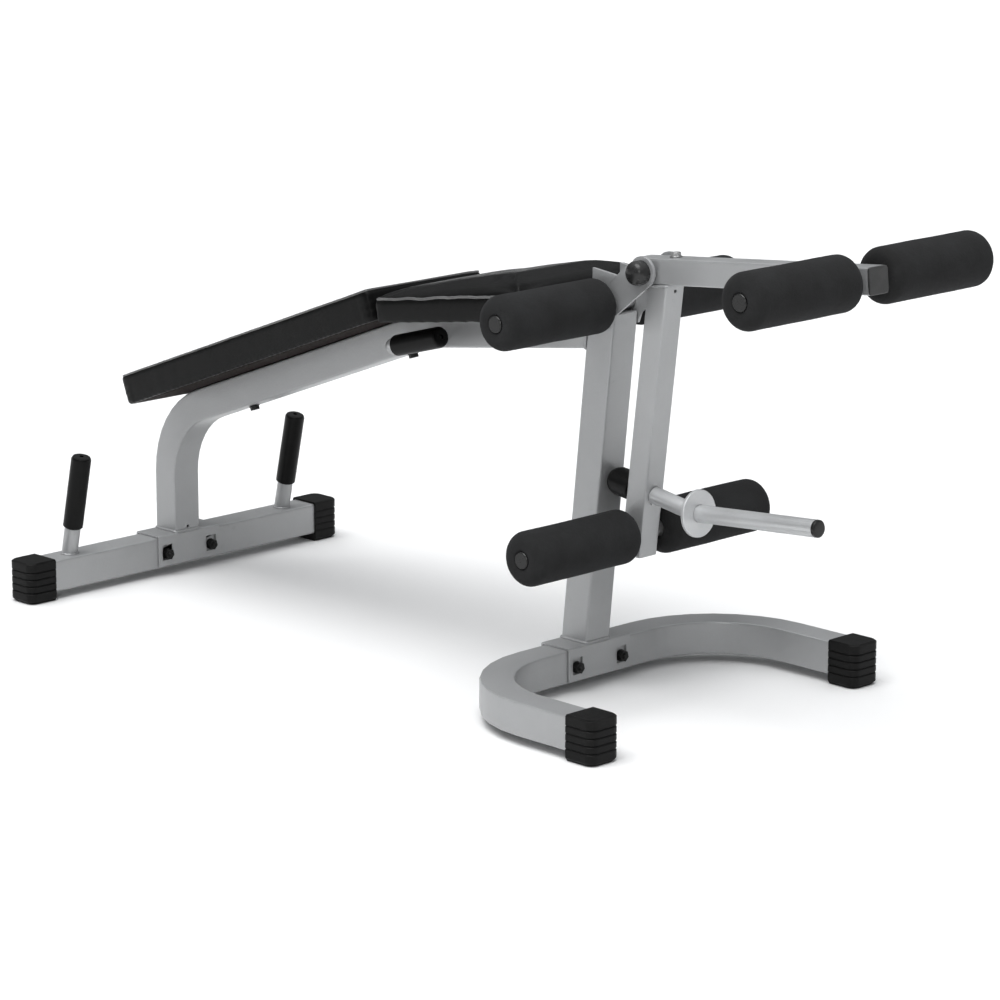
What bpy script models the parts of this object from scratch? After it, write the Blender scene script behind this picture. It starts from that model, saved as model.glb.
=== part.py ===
"""Plate-loaded leg extension / lying leg curl bench, modelled in metres.

+X runs forward, from the head of the back pad to the lever arms.  +Y is the left hand of a
seated user, -Y the right hand.  +Z is up and the floor is Z = 0.  Y = 0 is the plane of symmetry.
Sizes along X are measured from the rear upright; the finished bench is then moved back by
CENTRE_X, so the middle of its floor outline is at the world origin.
"""

import math

import bmesh
import bpy
from mathutils import Matrix, Vector

MM = 0.001
GAP = 0.3 * MM                    # clearance between touching pieces
CENTRE_X = 727.75 * MM            # middle of the bench, measured from the rear upright

# square tube frame
TUBE = 50.8 * MM
HALF = TUBE / 2
WALL = 2.5 * MM
TUBE_CORNER = 4.0 * MM
LEVER_TUBE = 38.1 * MM
LEVER_HALF = LEVER_TUBE / 2
LEVER_CORNER = 4.0 * MM
CORNER_STEPS = 2

# floor bases
BASE_Z = 12.6 * MM                # underside of both base tubes
BASE_TOP = BASE_Z + TUBE
BASE_MID = BASE_Z + HALF
REAR_HALF_Y = 315.0 * MM          # end of the rear tube inside its foot
REAR_FOOT_Y = 274.2 * MM
FOOT_REACH = 51.0 * MM
FRONT_X = 934.9 * MM              # centre line of the cross part of the front base
FRONT_LEG_Y = 273.6 * MM
FRONT_BEND_R = 158.0 * MM
FRONT_FOOT_X = 1192.6 * MM
FRONT_END_X = 1234.0 * MM

# rubber feet
FOOT_TOP = 66.8 * MM
FOOT_HALF = 28.5 * MM
FOOT_ROUND = 13.0 * MM
FOOT_GROOVES = (18.0 * MM, 29.0 * MM, 40.0 * MM, 51.0 * MM)

# saddle brackets and their bolts
SADDLE_HALF_Y = 64.0 * MM
SADDLE_WALL = 3.0 * MM
SADDLE_Z = 16.0 * MM
SADDLE_TOP = BASE_TOP + GAP + SADDLE_WALL
BOLT_Y = 46.0 * MM
BOLT_Z = 36.0 * MM
BOLT_R = 5.0 * MM
BOLT_HOLE = 4.6 * MM
ACCESS_HOLE = 10.0 * MM
VENT_R = 2.6 * MM

# bent main frame: corners of its centre line in the XZ plane
UPRIGHT_BOTTOM = SADDLE_TOP + GAP
BEND_1 = (0.0, 255.4 * MM)
BEND_1_R = 135.4 * MM
BEND_2 = (605.1 * MM, 482.1 * MM)
BEND_2_R = 260.0 * MM
BEAM_END = (957.6 * MM, 532.1 * MM)

# leaning front post
POST_LEAN = math.radians(6.12)
POST_FOOT = (933.6 * MM, SADDLE_TOP + GAP)
POST_TOP_Z = 562.4 * MM
POST_CAP = 4.0 * MM

# pivot
PIVOT = (1071.0 * MM, 633.0 * MM)
PLATE_IN = HALF + GAP
PLATE_OUT = PLATE_IN + 4.7 * MM
NOSE_R = 23.0 * MM
AXLE_R = 8.0 * MM
HUB_R = 14.5 * MM
CAP_R = 17.5 * MM

# lever arms
UPPER_ANGLE = math.radians(5.43)
UPPER_START = -23.0 * MM
UPPER_LENGTH = 409.0 * MM
LOWER_LEAN = math.radians(7.0)
LOWER_X = 1092.0 * MM             # lower arm's centre line at the pivot height
LOWER_BOTTOM_Z = 215.0 * MM

# rollers
ROLLER_R = 40.0 * MM
ROLLER_EDGE = 16.0 * MM
ROLLER_IN = 32.0 * MM
ROLLER_OUT = 242.5 * MM
ROD_R = 12.7 * MM
ROD_END = 238.0 * MM
ROD_HOLE = 13.0 * MM
KNEE = (992.5 * MM, 576.2 * MM)
UPPER_ROLL = (1450.0 * MM, 669.0 * MM)
LOWER_ROLL = (1045.2 * MM, 247.2 * MM)

# pads
BACK_HALF_W = 120.0 * MM
SEAT_HALF_W = 128.0 * MM
PAD_CORNER = 9.0 * MM
BOARD = 11.0 * MM
BACK_LENGTH = 625.0 * MM
BACK_CUSHION = 36.5 * MM
BACK_START = (22.5 * MM, 291.3 * MM)
SEAT_START = (621.0 * MM, 510.2 * MM)
SEAT_LENGTH = 312.0 * MM
SEAT_CUSHION = 23.0 * MM
SEAT_CROWN = 13.0 * MM              # rear end; the front end gains the next two
SEAT_LIFT = 3.0 * MM
SEAT_FRONT_CROWN = 20.0 * MM
BOARD_INSET = 12.0 * MM

# hand grips
GRIP_R = 16.0 * MM
BAR_R = 12.7 * MM
BAR_WALL = 2.2 * MM
GRIP_POST_Y = 224.5 * MM
GRIP_LEAN = math.radians(12.8)
HANDLE_Y = 80.0 * MM
HANDLE_CORNER = (600.0 * MM, 465.0 * MM)
HANDLE_ANGLE = math.radians(15.5)
HANDLE_LENGTH = 113.0 * MM
HANDLE_BEND_R = 15.0 * MM

# weight peg
PEG_R = 12.7 * MM
PEG_ROOT_Z = 308.0 * MM
PEG_BEND = (1151.0 * MM, 293.0 * MM)
PEG_TIP = (1379.0 * MM, 311.0 * MM)
COLLAR_R = 34.5 * MM
COLLAR_T = 6.0 * MM

# bumper
BUMPER_R = 21.0 * MM
BUMPER_Z = 308.5 * MM

X_AXIS = Vector((1, 0, 0))
Y_AXIS = Vector((0, 1, 0))
Z_AXIS = Vector((0, 0, 1))


def clear_scene():
    for obj in list(bpy.data.objects):
        bpy.data.objects.remove(obj, do_unlink=True)


def make_material(name, color, roughness, metallic):
    mat = bpy.data.materials.new(name)
    mat.use_nodes = True
    shader = mat.node_tree.nodes["Principled BSDF"]
    shader.inputs["Base Color"].default_value = (*color, 1.0)
    shader.inputs["Roughness"].default_value = roughness
    shader.inputs["Metallic"].default_value = metallic
    return mat


def make_object(name, verts, faces, look, origin=(0, 0, 0), parent=None):
    """Object with its origin at the given world point; look is (colour, roughness, metallic)."""
    origin = Vector(origin)
    mesh = bpy.data.meshes.new(name)
    bm = bmesh.new()
    made = [bm.verts.new(Vector(v) - origin) for v in verts]
    for face in faces:
        bm.faces.new([made[i] for i in face])
    bmesh.ops.recalc_face_normals(bm, faces=bm.faces)
    for face in bm.faces:
        face.smooth = True
    for edge in bm.edges:
        if len(edge.link_faces) == 2 and edge.calc_face_angle(0.0) > math.radians(35):
            edge.smooth = False
    bm.to_mesh(mesh)
    bm.free()
    mesh.materials.append(make_material(name, *look))
    obj = bpy.data.objects.new(name, mesh)
    bpy.context.scene.collection.objects.link(obj)
    obj.location = origin
    if parent is not None:
        obj.parent = parent
        obj.location = origin - parent.location
    return obj


def make_cutter(name, verts, faces):
    cutter = make_object(name, verts, faces, STEEL)
    cutter.hide_render = True
    cutter.display_type = "WIRE"
    return cutter


def cut(obj, cutter):
    bpy.context.view_layer.update()
    mod = obj.modifiers.new("cut_" + cutter.name, "BOOLEAN")
    mod.operation = "DIFFERENCE"
    mod.solver = "EXACT"
    mod.object = cutter


def rounded_outline(half_a, half_b, radius, steps):
    """Counter-clockwise outline of a rounded rectangle around (0, 0)."""
    points = []
    for index, (sa, sb) in enumerate(((1, 1), (-1, 1), (-1, -1), (1, -1))):
        for k in range(steps + 1):
            angle = math.radians(90 * (index + k / steps))
            points.append((sa * (half_a - radius) + radius * math.cos(angle),
                           sb * (half_b - radius) + radius * math.sin(angle)))
    return points


def circle_outline(radius, segments):
    turn = 2 * math.pi / segments
    return [(radius * math.cos(turn * k), radius * math.sin(turn * k)) for k in range(segments)]


def stitch(rings, closed=False):
    """Quads between rings of equal length; end caps as n-gons unless the stack closes on itself."""
    count = len(rings[0])
    verts = [v for ring in rings for v in ring]
    faces = []
    last = len(rings) if closed else len(rings) - 1
    for r in range(last):
        a = r * count
        b = ((r + 1) % len(rings)) * count
        for k in range(count):
            n = (k + 1) % count
            faces.append((a + k, a + n, b + n, b + k))
    if not closed:
        faces.append(tuple(range(count)))
        faces.append(tuple(range(len(verts) - count, len(verts))))
    return verts, faces


def filleted(corners, radii, step=math.radians(11)):
    """Centre line as (point, direction) samples through rounded corners."""
    corners = [Vector(c) for c in corners]
    samples = [(corners[0], (corners[1] - corners[0]).normalized())]
    for i in range(1, len(corners) - 1):
        into = (corners[i] - corners[i - 1]).normalized()
        out = (corners[i + 1] - corners[i]).normalized()
        angle = into.angle(out)
        reach = radii[i - 1] * math.tan(angle / 2)
        axis = into.cross(out).normalized()
        start = corners[i] - into * reach
        centre = start + axis.cross(into) * radii[i - 1]
        steps = max(2, round(angle / step))
        for k in range(steps + 1):
            turn = Matrix.Rotation(angle * k / steps, 3, axis)
            samples.append((centre + turn @ (start - centre), turn @ into))
    samples.append((corners[-1], (corners[-1] - corners[-2]).normalized()))
    return samples


def sweep(path, across, outline, end_normal=None):
    """Rings of the outline along the path; the last ring may lie on a slanted plane."""
    rings = []
    for index, (point, direction) in enumerate(path):
        up = direction.cross(across).normalized()
        ring = [point + across * a + up * b for a, b in outline]
        if end_normal is not None and index == len(path) - 1:
            ring = [p + direction * ((point - p).dot(end_normal) / direction.dot(end_normal))
                    for p in ring]
        rings.append(ring)
    return rings


def tube_rings(path, across, outer, inner, end_normal=None):
    """A hollow tube, open at both ends: out along the outside and back along the inside."""
    outside = sweep(path, across, outer, end_normal)
    inside = sweep(path, across, inner, end_normal)
    return stitch(outside + inside[::-1], closed=True)


def square_tube(path, across, half, corner, end_normal=None):
    outer = rounded_outline(half, half, corner, CORNER_STEPS)
    inner = rounded_outline(half - WALL, half - WALL, corner - WALL, CORNER_STEPS)
    return tube_rings(path, across, outer, inner, end_normal)


def round_tube(path, across, radius, wall, segments=20):
    return tube_rings(path, across, circle_outline(radius, segments),
                      circle_outline(radius - wall, segments))


def lathe(profile, base, axis, segments=24, hexed=()):
    """Solid of revolution from (distance along axis, radius) pairs.

    A profile whose first and last points are equal makes a ring-shaped solid.  Profile points
    listed in hexed are drawn as hexagons with that corner radius."""
    axis = Vector(axis).normalized()
    side = axis.orthogonal().normalized()
    other = axis.cross(side)
    ring_shaped = profile[0] == profile[-1]
    rings = []
    for index, (along, radius) in enumerate(profile[:-1] if ring_shaped else profile):
        ring = []
        for k in range(segments):
            angle = 2 * math.pi * k / segments
            r = radius
            if index in hexed:
                within = (angle + 1e-9) % (math.pi / 3) - math.pi / 6
                r = radius * math.cos(math.pi / 6) / math.cos(within)
            offset = side * (r * math.cos(angle)) + other * (r * math.sin(angle))
            ring.append(Vector(base) + axis * along + offset)
        rings.append(ring)
    return stitch(rings, closed=ring_shaped)


def prism(outline, direction, length):
    """Flat outline of world points pushed along a direction."""
    near = [Vector(p) for p in outline]
    far = [p + Vector(direction) * length for p in near]
    return stitch([near, far])


def box(low, high):
    (x0, y0, z0), (x1, y1, z1) = low, high
    base = [(x0, y0, z0), (x1, y0, z0), (x1, y1, z0), (x0, y1, z0)]
    return prism(base, Z_AXIS, z1 - z0)


SILVER = ((0.42, 0.43, 0.44), 0.42, 0.55)
STEEL = ((0.60, 0.61, 0.62), 0.30, 0.9)
DARK_STEEL = ((0.05, 0.05, 0.055), 0.4, 0.6)
RUBBER = ((0.02, 0.02, 0.021), 0.7, 0.0)
FOAM = ((0.028, 0.029, 0.031), 0.85, 0.0)
VINYL = ((0.016, 0.016, 0.017), 0.35, 0.0)
BOARD_LOOK = ((0.05, 0.022, 0.016), 0.7, 0.0)
PLASTIC = ((0.03, 0.03, 0.032), 0.4, 0.0)
GREY_PLASTIC = ((0.10, 0.10, 0.11), 0.5, 0.0)


def sides():
    """Suffix and Y sign of the mirrored pieces; the right hand side is -Y."""
    return (("right", -1), ("left", 1))


def build_rear_base():
    path = [(Vector((0, -REAR_HALF_Y, BASE_MID)), Y_AXIS),
            (Vector((0, REAR_HALF_Y, BASE_MID)), Y_AXIS)]
    tube = make_object("rear_base_tube", *square_tube(path, X_AXIS, HALF, TUBE_CORNER), SILVER)
    for name, sign in sides():
        hole = make_cutter("hole_rear_" + name, *lathe(
            [(-0.04, BOLT_R + 1.0 * MM), (0.04, BOLT_R + 1.0 * MM)],
            (0, sign * BOLT_Y, BOLT_Z), X_AXIS, 16))
        cut(tube, hole)


def foot_rings(reach):
    """Rings of the rubber foot in its own axes: +X outward along the tube, Z up."""
    def outline(inset):
        points = []
        radius = FOOT_ROUND
        far = reach - inset
        half = FOOT_HALF - inset
        points.append((0.0, half))
        points.append((0.0, -half))
        for k in range(5):
            angle = math.radians(-90 + 22.5 * k)
            points.append((far - radius + radius * math.cos(angle),
                           -half + radius + radius * math.sin(angle)))
        for k in range(5):
            angle = math.radians(22.5 * k)
            points.append((far - radius + radius * math.cos(angle),
                           half - radius + radius * math.sin(angle)))
        return points

    levels = [(0.0, 4.0 * MM), (5.0 * MM, 0.0)]
    for z in FOOT_GROOVES:
        levels += [(z - 1.6 * MM, 0.0), (z, 1.3 * MM), (z + 1.6 * MM, 0.0)]
    levels += [(FOOT_TOP - 2.2 * MM, 0.0), (FOOT_TOP, 2.4 * MM)]
    return [[Vector((x, y, z)) for x, y in outline(inset)] for z, inset in levels]


def build_foot(name, place, turn, depth):
    """Rubber cap over a tube end: place is the open end on the floor, turn about Z, pocket depth."""
    spin = Matrix.Rotation(turn, 3, "Z")
    verts, faces = stitch(foot_rings(FOOT_REACH))
    verts = [spin @ v + Vector(place) for v in verts]
    foot = make_object(name, verts, faces, RUBBER, place)
    fit = HALF + GAP
    pocket = rounded_outline(fit, fit, TUBE_CORNER + GAP, CORNER_STEPS)
    rings = [[spin @ Vector((x, a, b + BASE_MID)) + Vector(place) for a, b in pocket]
             for x in (-0.02, depth)]
    cut(foot, make_cutter("pocket_" + name, *stitch(rings)))


def build_feet():
    rear_depth = REAR_HALF_Y - REAR_FOOT_Y + GAP
    front_depth = FRONT_END_X - FRONT_FOOT_X + GAP
    for name, sign in sides():
        build_foot("rear_foot_" + name, (0, sign * REAR_FOOT_Y, 0), sign * math.pi / 2, rear_depth)
        build_foot("front_foot_" + name, (FRONT_FOOT_X, sign * FRONT_LEG_Y, 0), 0.0, front_depth)


def build_saddle(name, centre_x):
    """Folded plate over a base tube, with a square window round each nut."""
    inner = HALF + GAP
    outer = inner + SADDLE_WALL
    section = [(-outer, SADDLE_Z), (-inner, SADDLE_Z), (-inner, SADDLE_TOP - SADDLE_WALL),
               (inner, SADDLE_TOP - SADDLE_WALL), (inner, SADDLE_Z), (outer, SADDLE_Z),
               (outer, SADDLE_TOP - 2 * MM), (outer - 2 * MM, SADDLE_TOP),
               (-outer + 2 * MM, SADDLE_TOP), (-outer, SADDLE_TOP - 2 * MM)]
    outline = [(centre_x + x, -SADDLE_HALF_Y, z) for x, z in section]
    origin = (centre_x, 0, BASE_TOP)
    verts, faces = prism(outline, Y_AXIS, 2 * SADDLE_HALF_Y)
    saddle = make_object(name, verts, faces, SILVER, origin)
    window = 10.0 * MM
    for side, sign in sides():
        low = (centre_x + HALF - 0.01, sign * BOLT_Y - window, BOLT_Z - window)
        high = (centre_x + HALF + 0.01, sign * BOLT_Y + window, BOLT_Z + window + 5 * MM)
        cut(saddle, make_cutter(name + "_window_" + side, *box(low, high)))
        hole = lathe([(-0.045, BOLT_R + 1.0 * MM), (0.0, BOLT_R + 1.0 * MM)],
                     (centre_x, sign * BOLT_Y, BOLT_Z), X_AXIS, 16)
        cut(saddle, make_cutter(name + "_hole_" + side, *hole))


def build_saddle_bolts(prefix, centre_x):
    """Domed bolt from behind with its washer and hexagon nut at the front."""
    back = -(HALF + 2 * GAP + SADDLE_WALL)
    seat = HALF + GAP
    profile = [(back - 5.5 * MM, 4.0 * MM), (back - 4.0 * MM, 8.0 * MM), (back - 0.6 * MM, 10.5 * MM),
               (back, 10.5 * MM), (back, BOLT_R), (seat, BOLT_R), (seat, 9.0 * MM),
               (seat + 1.8 * MM, 9.0 * MM), (seat + 1.8 * MM, 8.8 * MM), (seat + 9.5 * MM, 8.8 * MM),
               (seat + 9.5 * MM, BOLT_R - 0.5 * MM), (seat + 13.0 * MM, BOLT_R - 1.2 * MM)]
    for name, sign in sides():
        base = (centre_x, sign * BOLT_Y, BOLT_Z)
        verts, faces = lathe(profile, base, X_AXIS, 12, hexed=(8, 9))
        make_object(prefix + "_bolt_" + name, verts, faces, DARK_STEEL, base)


def build_front_base():
    corners = [(FRONT_END_X, -FRONT_LEG_Y, BASE_MID), (FRONT_X, -FRONT_LEG_Y, BASE_MID),
               (FRONT_X, FRONT_LEG_Y, BASE_MID), (FRONT_END_X, FRONT_LEG_Y, BASE_MID)]
    path = filleted(corners, [FRONT_BEND_R, FRONT_BEND_R])
    origin = (FRONT_X, 0, BASE_MID)
    verts, faces = square_tube(path, Z_AXIS, HALF, TUBE_CORNER)
    tube = make_object("front_base_tube", verts, faces, SILVER, origin)
    for name, sign in sides():
        hole = lathe([(-0.04, BOLT_R + 1.0 * MM), (0.04, BOLT_R + 1.0 * MM)],
                     (FRONT_X, sign * BOLT_Y, BOLT_Z), X_AXIS, 16)
        cut(tube, make_cutter("hole_front_" + name, *hole))


def post_direction():
    return Vector((math.sin(POST_LEAN), 0, math.cos(POST_LEAN)))


def build_main_frame():
    """One bent tube: upright, sloped back section and gently sloped seat section."""
    corners = [(0, 0, UPRIGHT_BOTTOM), (BEND_1[0], 0, BEND_1[1]), (BEND_2[0], 0, BEND_2[1]),
               (BEAM_END[0], 0, BEAM_END[1])]
    path = filleted(corners, [BEND_1_R, BEND_2_R], math.radians(9))
    across_post = post_direction().cross(Y_AXIS)
    verts, faces = square_tube(path, Y_AXIS, HALF, TUBE_CORNER, end_normal=across_post)
    frame = make_object("main_frame", verts, faces, SILVER, (0, 0, UPRIGHT_BOTTOM))
    for bolt, (place, down) in pad_bolt_places().items():
        hole = lathe([(-0.08, BOLT_HOLE), (0.02, BOLT_HOLE)], place, -down, 12)
        cut(frame, make_cutter("hole_" + bolt, *hole))
        if bolt.startswith("seat"):
            access = lathe([(-0.07, ACCESS_HOLE), (-TUBE / 2, ACCESS_HOLE)], place, -down, 16)
            cut(frame, make_cutter("access_" + bolt, *access))
    vent = lathe([(0.0, VENT_R), (0.05, VENT_R)], (0, 0, UPRIGHT_BOTTOM + 6.5 * MM), X_AXIS, 10)
    cut(frame, make_cutter("vent_upright", *vent))


def build_front_post():
    up = post_direction()
    foot = Vector((POST_FOOT[0], 0, POST_FOOT[1]))
    top = foot + up * ((POST_TOP_Z - foot.z) / up.z)
    across_up = up.cross(Y_AXIS).normalized()

    def ring(point, half, corner):
        made = []
        for a, b in rounded_outline(half, half, corner, CORNER_STEPS):
            p = point + Y_AXIS * a + across_up * b
            made.append(p + up * ((point.z - p.z) / up.z))
        return made

    under_cap = top - up * POST_CAP
    rings = [ring(foot, HALF - WALL, TUBE_CORNER - WALL), ring(foot, HALF, TUBE_CORNER),
             ring(top, HALF, TUBE_CORNER)]
    inner = [ring(under_cap, HALF - WALL, TUBE_CORNER - WALL)]
    verts, faces = stitch(inner + rings)
    make_object("front_post", verts, faces, SILVER, foot)


def plate_outline():
    """Pivot plate in the XZ plane: rear ear, notch, rounded nose and slanted front edge."""
    px, pz = PIVOT
    points = [(974.0 * MM, 545.0 * MM), (974.0 * MM, 627.5 * MM), (1022.0 * MM, 622.5 * MM),
              (1035.0 * MM, 634.5 * MM)]
    for degrees in range(143, -53, -15):
        angle = math.radians(degrees)
        points.append((px + NOSE_R * math.cos(angle), pz + NOSE_R * math.sin(angle)))
    points += [(1016.5 * MM, 561.0 * MM), (1010.0 * MM, 545.0 * MM)]
    return points


def build_pivot():
    px, pz = PIVOT
    for name, sign in sides():
        low = PLATE_IN if sign > 0 else -PLATE_OUT
        outline = [(x, low, z) for x, z in plate_outline()]
        origin = (px, sign * PLATE_IN, pz)
        verts, faces = prism(outline, Y_AXIS, PLATE_OUT - PLATE_IN)
        plate = make_object("pivot_plate_" + name, verts, faces, SILVER, origin)
        for tag, (x, z), radius in (("pin", PIVOT, AXLE_R + GAP), ("rod", KNEE, ROD_R + GAP)):
            hole = lathe([(-0.04, radius), (0.04, radius)], (x, sign * PLATE_IN, z), Y_AXIS, 24)
            cut(plate, make_cutter("hole_" + tag + "_" + name, *hole))
        start = PLATE_OUT + GAP
        cap = [(start + 15 * MM, 2.0 * MM), (start + 15 * MM, 13.4 * MM), (start, 13.4 * MM),
               (start, CAP_R), (start + 12 * MM, CAP_R), (start + 16.5 * MM, CAP_R - 1.6 * MM),
               (start + 19.5 * MM, CAP_R - 5 * MM), (start + 21.5 * MM, CAP_R - 10 * MM),
               (start + 22.2 * MM, 1.0 * MM)]
        verts, faces = lathe(cap, (px, 0, pz), Y_AXIS * sign, 24)
        make_object("pivot_cap_" + name, verts, faces, PLASTIC, (px, sign * PLATE_OUT, pz))
    nut = PLATE_OUT + GAP
    pin = [(-nut - 11 * MM, AXLE_R - 1 * MM), (-nut - 9 * MM, AXLE_R), (-nut - 9 * MM, 13.0 * MM),
           (-nut, 13.0 * MM), (-nut, AXLE_R), (nut, AXLE_R), (nut, 13.0 * MM),
           (nut + 9 * MM, 13.0 * MM), (nut + 9 * MM, AXLE_R), (nut + 11 * MM, AXLE_R - 1 * MM)]
    verts, faces = lathe(pin, (px, 0, pz), Y_AXIS, 24, hexed=(2, 3, 6, 7))
    make_object("pivot_axle", verts, faces, STEEL, (px, 0, pz))


def build_hub(lever):
    px, pz = PIVOT
    half = HALF - 0.6 * MM
    bore = AXLE_R + GAP
    verts, faces = lathe([(-half, bore), (-half, HUB_R), (half, HUB_R), (half, bore), (-half, bore)],
                         (px, 0, pz), Y_AXIS, 32)
    make_object("lever_hub", verts, faces, SILVER, (px, 0, pz), lever)


def upper_direction():
    return Vector((math.cos(UPPER_ANGLE), 0, math.sin(UPPER_ANGLE)))


def lower_direction():
    return Vector((-math.sin(LOWER_LEAN), 0, -math.cos(LOWER_LEAN)))


def lower_point(z):
    """Point of the lower arm's centre line at height z."""
    down = lower_direction()
    start = Vector((LOWER_X, 0, PIVOT[1]))
    return start + down * ((z - start.z) / down.z)


def build_lever_arms(lever):
    pivot = Vector((PIVOT[0], 0, PIVOT[1]))
    along = upper_direction()
    normal = Y_AXIS.cross(along) * -1
    path = [(pivot + along * UPPER_START, along), (pivot + along * UPPER_LENGTH, along)]
    verts, faces = square_tube(path, Y_AXIS, LEVER_HALF, LEVER_CORNER)
    upper = make_object("upper_lever_tube", verts, faces, SILVER, pivot, lever)
    cut(upper, rod_cutter("upper_rod", UPPER_ROLL))
    seat = lathe([(-0.05, HUB_R + GAP), (0.05, HUB_R + GAP)], (PIVOT[0], 0, PIVOT[1]), Y_AXIS, 32)
    cut(upper, make_cutter("hole_hub", *seat))
    bolt_top = top_bolt_place()
    hole = lathe([(-0.02, 4.6 * MM), (0.01, 4.6 * MM)], bolt_top, normal, 12)
    cut(upper, make_cutter("hole_top_bolt", *hole))

    cap_start = UPPER_LENGTH + GAP
    plug = rounded_outline(LEVER_HALF - WALL - GAP, LEVER_HALF - WALL - GAP, 1.2 * MM, CORNER_STEPS)
    head = rounded_outline(LEVER_HALF, LEVER_HALF, LEVER_CORNER, CORNER_STEPS)
    face = rounded_outline(LEVER_HALF - 1 * MM, LEVER_HALF - 1 * MM, LEVER_CORNER, CORNER_STEPS)
    rings = []
    for reach, outline in ((cap_start - 12 * MM, plug), (cap_start, plug), (cap_start, head),
                           (cap_start + 3 * MM, head), (cap_start + 4 * MM, face)):
        rings += sweep([(pivot + along * reach, along)], Y_AXIS, outline)
    make_object("upper_lever_cap", *stitch(rings), GREY_PLASTIC, pivot, lever)

    down = lower_direction()
    top = pivot - normal * (LEVER_HALF + 0.6 * MM)
    start = lower_point(PIVOT[1])
    start = start + down * ((top - start).dot(normal) / down.dot(normal))
    path = [(lower_point(LOWER_BOTTOM_Z), -down), (start, -down)]
    verts, faces = square_tube(path, Y_AXIS, LEVER_HALF, LEVER_CORNER, end_normal=normal)
    lower = make_object("lower_lever_tube", verts, faces, SILVER, pivot, lever)
    cut(lower, rod_cutter("lower_rod", LOWER_ROLL))
    vent = lathe([(0.0, VENT_R), (0.05, VENT_R)], lower_point(PIVOT[1] - 26 * MM), X_AXIS, 10)
    cut(lower, make_cutter("vent_lever", *vent))

    head_seat = GAP
    profile = [(-30 * MM, 3.4 * MM), (-29 * MM, 4.0 * MM), (head_seat, 4.0 * MM),
               (head_seat, 9.0 * MM), (1.8 * MM, 9.0 * MM), (1.8 * MM, 7.6 * MM),
               (7.0 * MM, 7.6 * MM), (7.6 * MM, 6.0 * MM)]
    verts, faces = lathe(profile, bolt_top, normal, 12, hexed=(5, 6))
    make_object("lever_top_bolt", verts, faces, STEEL, bolt_top, lever)


def rod_cutter(name, place):
    hole = lathe([(-0.05, ROD_HOLE), (0.05, ROD_HOLE)], (place[0], 0, place[1]), Y_AXIS, 24)
    return make_cutter("hole_" + name, *hole)


def top_bolt_place():
    """Point on the top face of the upper arm, above the lower arm's end."""
    along = upper_direction()
    normal = Y_AXIS.cross(along) * -1
    return Vector((PIVOT[0], 0, PIVOT[1])) + along * (39.5 * MM) + normal * LEVER_HALF


def build_bumper(lever):
    """Rubber buffer on the back of the lower arm; its dome meets the post."""
    centre = lower_point(BUMPER_Z)
    back = Vector((-math.cos(LOWER_LEAN), 0, math.sin(LOWER_LEAN)))
    base = centre + back * (LEVER_HALF + GAP)
    up = post_direction()
    across = Y_AXIS.cross(up)
    foot = Vector((POST_FOOT[0], 0, POST_FOOT[1]))
    free = (base - foot).dot(across) - HALF
    reach = free / abs(back.dot(across)) - 1.0 * MM
    profile = [(0.0, BUMPER_R), (reach - 16 * MM, BUMPER_R), (reach - 9 * MM, BUMPER_R - 2 * MM),
               (reach - 4 * MM, BUMPER_R - 5.5 * MM), (reach - 1.2 * MM, BUMPER_R - 10 * MM),
               (reach, 5.0 * MM)]
    make_object("lever_bumper", *lathe(profile, base, back, 24), RUBBER, base, lever)


def build_weight_peg(lever):
    """Bent round bar on the front of the lower arm, with a stop collar at the bend."""
    root = lower_point(PEG_ROOT_Z)
    front = Vector((math.cos(LOWER_LEAN), 0, -math.sin(LOWER_LEAN)))
    bend = Vector((PEG_BEND[0], 0, PEG_BEND[1]))
    tilt = front.angle(bend - root)
    root = root + front * (LEVER_HALF + GAP + PEG_R * math.sin(tilt))
    tip = Vector((PEG_TIP[0], 0, PEG_TIP[1]))
    path = filleted([root, bend, tip], [60 * MM], math.radians(5))
    rings = sweep(path, Y_AXIS, circle_outline(PEG_R, 20))
    make_object("weight_peg", *stitch(rings), STEEL, root, lever)
    out = (tip - bend).normalized()
    place = bend + out * (6.0 * MM)
    bore = PEG_R + GAP
    profile = [(-COLLAR_T / 2, bore), (-COLLAR_T / 2, COLLAR_R - 1 * MM),
               (-COLLAR_T / 2 + 1 * MM, COLLAR_R), (COLLAR_T / 2 - 1 * MM, COLLAR_R),
               (COLLAR_T / 2, COLLAR_R - 1 * MM), (COLLAR_T / 2, bore), (-COLLAR_T / 2, bore)]
    make_object("peg_collar", *lathe(profile, place, out, 32), STEEL, place, lever)
    profile = [(GAP, PEG_R), (4.5 * MM, PEG_R), (6.0 * MM, PEG_R - 1.5 * MM), (6.5 * MM, 5 * MM)]
    make_object("peg_end_cap", *lathe(profile, tip, out, 20), PLASTIC, tip, lever)


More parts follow.
